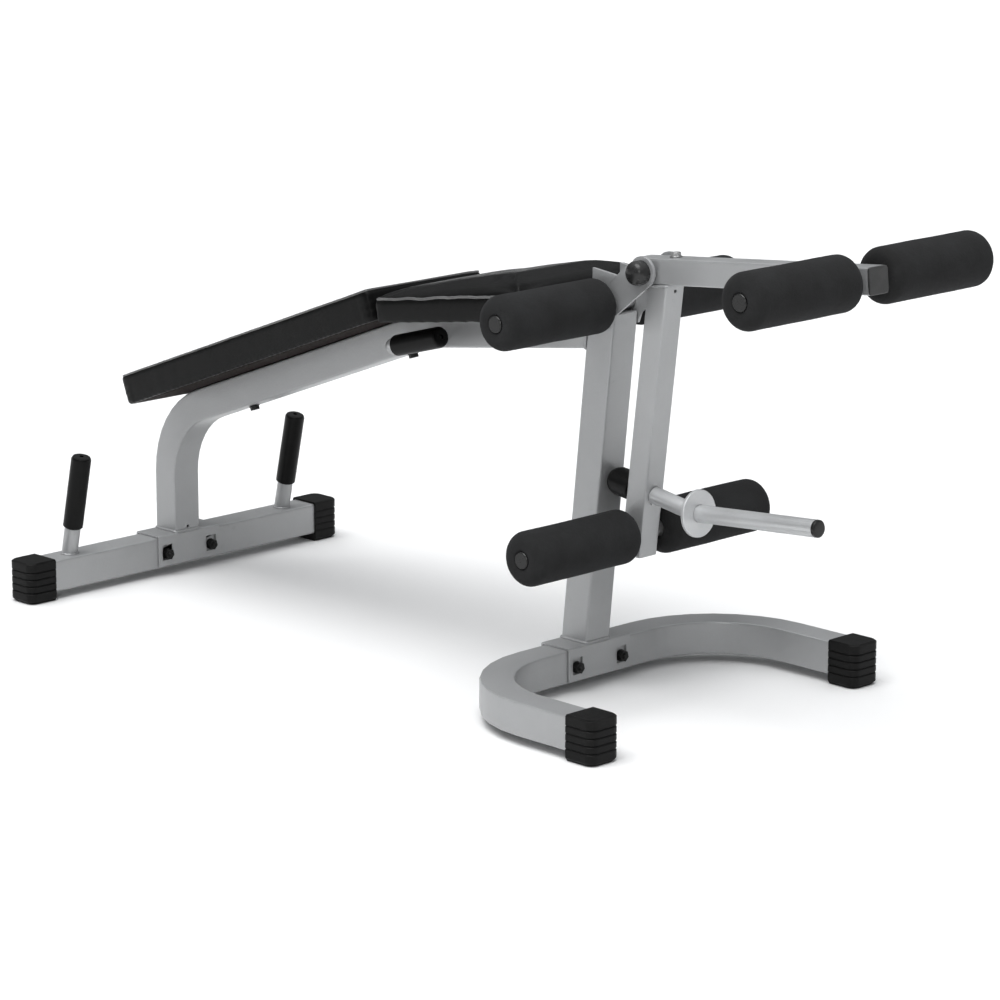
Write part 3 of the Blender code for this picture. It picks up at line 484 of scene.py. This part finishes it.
def build_welds():
    """Beads at the feet of the uprights and hand posts, the handles, the beam's end, lever and peg."""
    down = -Z_AXIS
    weld("weld_upright", end_loop("main_frame", down), "frame", 2.8 * MM, 0.6 * MM)
    weld("weld_post", end_loop("front_post", down), "frame", 2.8 * MM, 0.6 * MM)
    for side, sign in SIDES:
        weld("weld_grip_post_" + side, end_loop("rear_grip_post_" + side, down), "frame", 2.0 * MM, 0.4 * MM)
        inward = Y_AXIS * -sign
        weld("weld_handle_" + side, end_loop("seat_handle_bar_" + side, inward), "frame", 2.0 * MM, 0.4 * MM)
    post = points_of("front_post")
    low = post[post[:, 2] < post[:, 2].min() + RING_DEPTH].mean(0)
    high = post[post[:, 2] > post[:, 2].max() - RING_DEPTH].mean(0)
    post_up = Vector((high - low).tolist()).normalized()
    weld("weld_beam_end", end_loop("main_frame", Y_AXIS.cross(post_up)), "frame", 2.4 * MM, 0.4 * MM)
    lever_up = Vector((-math.sin(LEVER_LEAN), 0, math.cos(LEVER_LEAN)))
    weld("weld_lever", end_loop("lower_lever_tube", lever_up), "lever", 2.0 * MM, 0.5 * MM)
    peg_root = Vector((-math.cos(PEG_RISE), 0, math.sin(PEG_RISE)))
    weld("weld_peg", end_loop("weight_peg", peg_root), "lever", 2.6 * MM, 0.8 * MM, PEG_PAINT)


build_welds()


# ---------------------------------------------------------------- foam rollers

ROLLER_BORE = 13.2 * MM
ROLLER_EDGE = 15.5 * MM
EDGE_STEPS = 9
MIDDLE_STEPS = 26
ROLLER_SIDES = 96


def hash_of(text):
    """Small fixed number for a name."""
    return sum((i + 3) * ord(c) for i, c in enumerate(text)) % 97 * 0.37


def roller_rows(length, radius):
    """Profile from the inner end to the outer one: (distance from the inner end, radius) rows."""
    face = radius - ROLLER_EDGE
    end = [(1.6 * MM, ROLLER_BORE), (0.9 * MM, ROLLER_BORE + 1.6 * MM),
           (0.35 * MM, ROLLER_BORE + 4.5 * MM), (0.05 * MM, face - 3.0 * MM)]
    for i in range(EDGE_STEPS + 1):
        a = math.pi / 2 * i / EDGE_STEPS
        end.append((ROLLER_EDGE - ROLLER_EDGE * math.cos(a), face + ROLLER_EDGE * math.sin(a)))
    straight = length - 2 * ROLLER_EDGE
    middle = [(ROLLER_EDGE + straight * i / MIDDLE_STEPS, radius) for i in range(1, MIDDLE_STEPS)]
    return end + middle + [(length - d, r) for d, r in end[::-1]]


def skin(unit, y, seed):
    """Slight unevenness of the foam's surface, mostly inward."""
    q = Vector((unit.x * 1.4, y * 22.0, unit.z * 1.4)) + Vector((seed, seed * 0.7, 0))
    return -0.35 * MM + 0.45 * MM * noise.noise(q) + 0.10 * MM * noise.noise(q * 5.0)


def build_roller(node, sign):
    """Foam sleeve with soft shoulders, a dished end round its cap and a slightly uneven skin."""
    low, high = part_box(node)
    centre = (low + high) / 2
    inner_y, outer_y = (low.y, high.y) if sign > 0 else (high.y, low.y)
    length = abs(outer_y - inner_y)
    rows = roller_rows(length, (high.z - low.z) / 2)
    seed = hash_of(node)
    verts = []
    for d, r in rows:
        y = inner_y + (outer_y - inner_y) * d / length
        for k in range(ROLLER_SIDES):
            a = 2 * math.pi * k / ROLLER_SIDES
            unit = Vector((math.cos(a), 0, math.sin(a)))
            swell = skin(unit, y, seed) if r > ROLLER_BORE + 2 * MM else 0.0
            verts.append(Vector((centre.x, y, centre.z)) + unit * (r + swell))
    faces = ring_faces(len(rows), ROLLER_SIDES)
    if sign < 0:
        faces = [quad[::-1] for quad in faces]
    obj = add_piece("foam_" + node, verts, faces, FOAM, node)
    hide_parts(node)


for group_name in ("knee", "upper", "lower"):
    for side_name, side_sign in SIDES:
        build_roller("%s_roller_%s" % (group_name, side_name), side_sign)


# ---------------------------------------------------------------- cushions

def slab_frame(board):
    """Middle, long axis and normal of a pad lying on a slope, from its board."""
    pts = points_of(board)
    flat = pts[:, [0, 2]]
    mean = (flat.min(0) + flat.max(0)) / 2
    _, vectors = np.linalg.eigh(np.cov((flat - flat.mean(0)).T))
    along = vectors[:, 1] * (1 if vectors[0, 1] > 0 else -1)
    a = Vector((along[0], 0, along[1]))
    n = Vector((-along[1], 0, along[0]))
    return Vector((mean[0], 0, mean[1])), a, n


def to_local(pts, middle, along, normal):
    axes = np.array([along, Y_AXIS, normal])
    return (pts - np.array(middle)) @ axes.T


def to_world(local, middle, along, normal):
    axes = np.array([along, Y_AXIS, normal])
    return local @ axes + np.array(middle)


def set_points(mesh, pts):
    mesh.vertices.foreach_set("co", pts.astype(np.float32).ravel())
    mesh.update()


def baked(obj):
    """New mesh from an object's evaluated state, with its modifiers cleared."""
    graph = bpy.context.evaluated_depsgraph_get()
    graph.update()
    mesh = bpy.data.meshes.new_from_object(obj.evaluated_get(graph))
    obj.modifiers.clear()
    old = obj.data
    obj.data = mesh
    bpy.data.meshes.remove(old)
    return mesh


CLOTH = {"quality": 6, "mass": 0.25, "tension_stiffness": 22, "compression_stiffness": 22,
         "shear_stiffness": 12, "bending_stiffness": 1.2, "use_pressure": True,
         "uniform_pressure_force": 4.0}
CLOTH_FRAMES = 20
VOXEL = 4.2 * MM
BOTTOM_HELD = 14 * MM
RIM_HELD = 7 * MM


def inflate(obj, held, cap):
    """Cloth simulation with inner pressure; no point moves further than the cap."""
    before = mesh_points(obj.data)
    group = obj.vertex_groups.new(name="pin")
    for index in np.nonzero(held > 0.01)[0]:
        group.add([int(index)], float(held[index]), "REPLACE")
    mod = obj.modifiers.new("Cloth", "CLOTH")
    for key, value in CLOTH.items():
        setattr(mod.settings, key, value)
    mod.settings.effector_weights.gravity = 0
    mod.settings.vertex_group_mass = "pin"
    mod.collision_settings.use_collision = False
    mod.point_cache.frame_start = 1
    mod.point_cache.frame_end = CLOTH_FRAMES
    scene = bpy.context.scene
    scene.frame_start, scene.frame_end = 1, CLOTH_FRAMES
    for number in range(1, CLOTH_FRAMES + 1):
        scene.frame_set(number)
    mesh = baked(obj)
    scene.frame_set(1)
    move = mesh_points(mesh) - before
    size = np.linalg.norm(move, axis=1, keepdims=True)
    move *= np.where(size > 1e-9, cap * np.tanh(size / cap) / np.maximum(size, 1e-9), 1.0)
    set_points(mesh, before + move)


def smoothstep(x, low, high):
    t = np.clip((x - low) / (high - low), 0, 1)
    return t * t * (3 - 2 * t)


def cushion_block(node):
    """The CAD cushion as one even voxel mesh with slightly softened corners."""
    name = "upholstered_" + node
    mesh = bpy.data.meshes.new(name)
    source = nodes[node].data
    mesh.from_pydata([tuple(v.co) for v in source.vertices], [],
                     [tuple(p.vertices) for p in source.polygons])
    obj = bpy.data.objects.new(name, mesh)
    bpy.context.scene.collection.objects.link(obj)
    joined = obj.modifiers.new("weld", "WELD")
    joined.merge_threshold = MERGE_GAP
    remesh = obj.modifiers.new("remesh", "REMESH")
    remesh.mode = "VOXEL"
    remesh.voxel_size = VOXEL
    relax = obj.modifiers.new("relax", "SMOOTH")
    relax.factor = 0.5
    relax.iterations = 3
    baked(obj)
    return obj


def held_shares(local, low, high, seam, rise):
    """How firmly each point is held: the bottom wholly, and the rim where the seam runs."""
    held = np.clip(1.3 - (local[:, 2] - low[2]) / BOTTOM_HELD, 0, 1)
    span = (high - low) / 2
    side = np.max(np.abs(local[:, :2] - (high + low)[:2] / 2) - span[:2], axis=1)
    lift = (local[:, 0] - low[0]) / (high[0] - low[0]) * rise
    rim = np.abs(local[:, 2] - lift - low[2] - seam) / RIM_HELD
    return np.maximum(held, 0.9 * np.clip(1.2 - rim, 0, 1) * smoothstep(side, -14 * MM, -6 * MM))


def build_cushion(node, board, cap, detail, seam, rise):
    """Upholstered pad: the CAD block remeshed, inflated, fitted back to its size, then detailed."""
    middle, along, normal = slab_frame(board)
    target = to_local(points_of(node), middle, along, normal)
    low, high = target.min(0), target.max(0)
    obj = cushion_block(node)
    local = to_local(mesh_points(obj.data), middle, along, normal)
    inflate(obj, held_shares(local, low, high, seam, rise), cap)
    local = to_local(mesh_points(obj.data), middle, along, normal)
    now_low, now_high = local.min(0), local.max(0)
    local = low + (local - now_low) * (high - low) / (now_high - now_low)
    local = detail(local, low, high)
    set_points(obj.data, to_world(local, middle, along, normal))
    finer = obj.modifiers.new("finer", "SUBSURF")
    finer.levels = finer.render_levels = 1
    baked(obj)
    obj.data.materials.clear()
    obj.data.materials.append(VINYL)
    for polygon in obj.data.polygons:
        polygon.use_smooth = True
    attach(obj, "frame")
    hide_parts(node)
    return obj, (middle, along, normal, low, high)


def noise_at(pts, scale, seed):
    return np.array([noise.noise(Vector((x * scale + seed, y * scale, z * scale))) for x, y, z in pts])


CORNER_IN = 9 * MM
PLEAT_REACH = 26 * MM
PLEAT_WAVES = 11.0


def corner_pleats(local, low, high, depth):
    """Small gathers of vinyl where the cover wraps round a corner, strongest at the bottom."""
    half = (high - low) / 2
    centre = (high + low) / 2
    rel = local - centre
    corner = np.stack([np.sign(rel[:, 0]) * (half[0] - CORNER_IN),
                       np.sign(rel[:, 1]) * (half[1] - CORNER_IN)], 1)
    away = rel[:, :2] - corner
    angle = np.arctan2(np.abs(away[:, 1]), np.abs(away[:, 0]))
    near = np.exp(-(np.linalg.norm(away, axis=1) / PLEAT_REACH) ** 2)
    outside = smoothstep(np.abs(rel[:, 0]) / half[0] + np.abs(rel[:, 1]) / half[1], 1.80, 1.96)
    height = (local[:, 2] - low[2]) / (high[2] - low[2])
    fade = smoothstep(1 - height, 0.15, 0.75)
    wave = np.sin(angle * PLEAT_WAVES) * depth * near * outside * fade
    direction = np.stack([np.sign(rel[:, 0]) * np.cos(angle), np.sign(rel[:, 1]) * np.sin(angle)], 1)
    local[:, :2] += direction * wave[:, None]
    return local


CORNER_STEPS = 8


def perimeter(low, high, outset, corner, step):
    """Evenly spaced points round a pad at some distance from its sides, seen from above."""
    half_a, half_b = (high[0] - low[0]) / 2 + outset, (high[1] - low[1]) / 2 + outset
    mid_a, mid_b = (high[0] + low[0]) / 2, (high[1] + low[1]) / 2
    made = []
    for index, (sa, sb) in enumerate(((1, 1), (-1, 1), (-1, -1), (1, -1))):
        for k in range(CORNER_STEPS + 1):
            a = math.radians(90 * (index + k / CORNER_STEPS))
            made.append(Vector((mid_a + sa * (half_a - corner) + corner * math.cos(a),
                                mid_b + sb * (half_b - corner) + corner * math.sin(a), 0)))
    return resample(made, step)


WELT_STEP = 2.2 * MM
WELT_SIDES = 8


def seam_path(cushion, frame_of, height, rise, sink, wave):
    """Closed path on the cover's real surface, found by rays from outside, that wanders a little."""
    middle, along, normal, low, high = frame_of
    local = to_local(mesh_points(cushion.data), middle, along, normal)
    tree = BVHTree.FromPolygons([tuple(v) for v in local], [tuple(p.vertices) for p in cushion.data.polygons])
    outer = perimeter(low, high, 25 * MM, 30 * MM, WELT_STEP)
    inner = perimeter(low, high, -30 * MM, 6 * MM, WELT_STEP)
    path = []
    for k, p in enumerate(outer):
        q = inner[round(k * len(inner) / len(outer)) % len(inner)]
        share = (p.x - low[0]) / (high[0] - low[0])
        z = low[2] + height + share * rise
        z += wave * (noise.noise(Vector((p.x * 21, p.y * 21, 4.2))) + 0.35 * noise.noise(
            Vector((p.x * 90, p.y * 90, 1.7))))
        direction = Vector((q.x - p.x, q.y - p.y, 0)).normalized()
        hit, _, _, _ = tree.ray_cast(Vector((p.x, p.y, z)), direction)
        if hit is not None:
            path.append(hit - direction * sink)
    return [(path[k - 1] + path[k] * 2 + path[(k + 1) % len(path)]) / 4 for k in range(len(path))]


def welt(name, cushion, frame_of, height, rise, radius, wave):
    """Piped seam round a cushion: a vinyl cord along its seam path, in the vinyl with a painted highlight in
    its colour.
    """
    path = seam_path(cushion, frame_of, height, rise, 0.35 * radius, wave)
    verts = []
    for k, p in enumerate(path):
        ahead = (path[(k + 1) % len(path)] - path[k - 1]).normalized()
        out = ahead.cross(Z_AXIS).normalized()
        up = out.cross(ahead)
        r = radius * (1 + 0.12 * noise.noise(p * 150))
        for m in range(WELT_SIDES):
            a = 2 * math.pi * m / WELT_SIDES
            verts.append(p + out * (r * math.cos(a)) + up * (r * math.sin(a)))
    faces = [(a, d, c, b) for a, b, c, d in ring_faces(len(path), WELT_SIDES)]
    placed = to_world(np.array([tuple(v) for v in verts]), *frame_of[:3])
    add_piece(name, [Vector(v) for v in placed.tolist()], faces, WELT_PAINTED_HIGHLIGHT, "frame")


BACK_SEAM = 47.0 * MM
SEAT_SEAM = 35.0 * MM
SEAT_RISE = 3.0 * MM


def outward(local, low, high):
    """Direction, seen from above, that each point's nearest side faces, and the distance to it."""
    half = (high - low)[:2] / 2
    rel = local[:, :2] - (high + low)[:2] / 2
    depth = half - np.abs(rel)
    on_end = (depth[:, 0] < depth[:, 1])[:, None]
    return np.where(on_end, [[1.0, 0.0]], [[0.0, 1.0]]) * np.sign(rel), np.min(depth, axis=1)


def back_detail(local, low, high):
    """Firm slab: the sides draw in a little, shallow dips on top, gathers at the corners."""
    out, depth = outward(local, low, high)
    edge = smoothstep(-depth, -12 * MM, -4 * MM)
    pull = noise_at(local * np.array([1, 1, 0.3]), 22.0, 3.1)
    waist = np.sin(np.clip((local[:, 2] - low[2]) / (high[2] - low[2]), 0, 1) * math.pi)
    local[:, :2] -= out * ((0.7 * pull ** 2 + 0.6 * waist) * MM * edge)[:, None]
    top = smoothstep(local[:, 2], high[2] - 9 * MM, high[2] - 3 * MM)
    local[:, 2] -= noise_at(local, 9.0, 9.7) ** 2 * 1.6 * MM * top
    return corner_pleats(local, low, high, 1.0 * MM)


def seat_detail(local, low, high):
    """Puffed seat: the side pulls in above its seam, which puckers, and the top dips a little."""
    out, depth = outward(local, low, high)
    share = (local[:, 0] - low[0]) / (high[0] - low[0])
    seam = low[2] + SEAT_SEAM + share * SEAT_RISE
    seam = seam + noise_at(local * np.array([1, 1, 0]), 17.0, 5.3) * 1.5 * MM
    edge = smoothstep(-depth, -16 * MM, -5 * MM)
    above = smoothstep(local[:, 2], seam - 1 * MM, seam + 3 * MM)
    groove = np.exp(-((local[:, 2] - seam) / (3.2 * MM)) ** 2)
    ripple = noise_at(local * np.array([1, 1, 0.15]), 70.0, 1.7)
    pull = above * (1.2 + 0.5 * ripple) + groove * (0.8 + 0.9 * ripple)
    local[:, :2] -= out * (pull * MM * edge)[:, None]
    top = smoothstep(local[:, 2], high[2] - 26 * MM, high[2] - 8 * MM)
    local[:, 2] -= noise_at(local, 8.0, 2.2) ** 2 * 2.4 * MM * top
    return corner_pleats(local, low, high, 0.7 * MM)


def build_pads():
    back, back_frame = build_cushion("back_pad_cushion", "back_pad_board", cap=2.5 * MM,
                                     detail=back_detail, seam=BACK_SEAM, rise=0.0)
    welt("back_pad_welt", back, back_frame, BACK_SEAM, rise=0.0, radius=1.7 * MM, wave=0.4 * MM)
    seat, seat_frame = build_cushion("seat_pad_cushion", "seat_pad_board", cap=5 * MM,
                                     detail=seat_detail, seam=SEAT_SEAM, rise=SEAT_RISE)
    welt("seat_pad_welt", seat, seat_frame, SEAT_SEAM, rise=SEAT_RISE, radius=2.3 * MM, wave=1.6 * MM)


build_pads()


# ---------------------------------------------------------------- stage, lights, camera

def stage_material(name, tone):
    t = Tree(name)
    t.set(Base_Color=t.mix(t.ramp(t.noise(1.5, 3), 0.3, 0.7), grey(tone * 0.99), grey(tone)))
    t.set(Roughness=0.75, Specular_IOR_Level=0.2)
    return t.mat


FLOOR_REACH = 60.0
FLOOR_DROP = 0.2 * MM


def build_stage():
    mesh = bpy.data.meshes.new("floor")
    corners = [(x * FLOOR_REACH, y * FLOOR_REACH, 0) for x, y in ((-1, -1), (1, -1), (1, 1), (-1, 1))]
    mesh.from_pydata(corners, [], [(0, 1, 2, 3)])
    mesh.materials.append(stage_material("pale_floor", 0.86))
    floor = bpy.data.objects.new("floor", mesh)
    bpy.context.scene.collection.objects.link(floor)
    floor.location.z = -FLOOR_DROP


SKY_LOW, SKY_HIGH = 0.14, 0.90
KEY_FROM = Vector((0.06, -0.32, 0.94))
KEY_POWER = 2.3
KEY_SPREAD = 50
DISPLAY_GAMMA = 0.88
PANEL_PLACE = Vector((3.6, -4.3, 2.3))
PANEL_AIM = Vector((0, 0, 0.4))
PANEL_SIZE = (0.9, 1.8)
PANEL_POWER = 42


def build_sky():
    """Overhead softbox: a sky that is bright above and fades towards the horizon."""
    world = bpy.data.worlds.new("studio")
    world.use_nodes = True
    tree = world.node_tree
    background = tree.nodes["Background"]
    background.inputs["Color"].default_value = (0.97, 0.985, 1.0, 1)
    place = tree.nodes.new("ShaderNodeTexCoord")
    split = tree.nodes.new("ShaderNodeSeparateXYZ")
    fade = tree.nodes.new("ShaderNodeMapRange")
    fade.interpolation_type = "SMOOTHSTEP"
    for key, value in (("From Min", 0.15), ("From Max", 0.85), ("To Min", SKY_LOW), ("To Max", SKY_HIGH)):
        fade.inputs[key].default_value = value
    tree.links.new(place.outputs["Generated"], split.inputs["Vector"])
    tree.links.new(split.outputs["Z"], fade.inputs["Value"])
    tree.links.new(fade.outputs["Result"], background.inputs["Strength"])
    bpy.context.scene.world = world


def add_lamp(name, data, facing):
    """Lamp that shines against a direction."""
    lamp = bpy.data.objects.new(name, data)
    bpy.context.scene.collection.objects.link(lamp)
    lamp.rotation_mode = "QUATERNION"
    lamp.rotation_quaternion = facing.to_track_quat("Z", "Y")
    return lamp


def build_lights():
    """The sky, one very soft key from above, and a tall panel that puts glints on the black parts."""
    build_sky()
    sun = bpy.data.lights.new("key", "SUN")
    sun.angle = math.radians(KEY_SPREAD)
    sun.energy = KEY_POWER
    add_lamp("key", sun, KEY_FROM)
    panel = bpy.data.lights.new("panel", "AREA")
    panel.shape = "RECTANGLE"
    panel.size, panel.size_y = PANEL_SIZE
    panel.energy = PANEL_POWER
    lamp = add_lamp("panel", panel, PANEL_PLACE - PANEL_AIM)
    lamp.location = PANEL_PLACE
    lamp.visible_camera = False
    scene = bpy.context.scene
    scene.view_settings.view_transform = "Standard"
    scene.view_settings.gamma = DISPLAY_GAMMA


CAMERA_PLACE = (4.178065, -4.042051, 1.644047)
CAMERA_AZIMUTH = 45.76881
CAMERA_PITCH = 13.58995
FOCAL_SHARE = 3.997059
SENSOR = 36.0


def build_camera():
    data = bpy.data.cameras.new("camera")
    data.sensor_width = SENSOR
    data.lens = SENSOR * FOCAL_SHARE
    data.clip_end = 200
    data.dof.use_dof = False
    camera = bpy.data.objects.new("camera", data)
    bpy.context.scene.collection.objects.link(camera)
    camera.location = CAMERA_PLACE
    camera.rotation_euler = (math.radians(90 - CAMERA_PITCH), 0, math.radians(CAMERA_AZIMUTH))
    bpy.context.scene.camera = camera


build_stage()
build_lights()
build_camera()

bpy.context.view_layer.update()
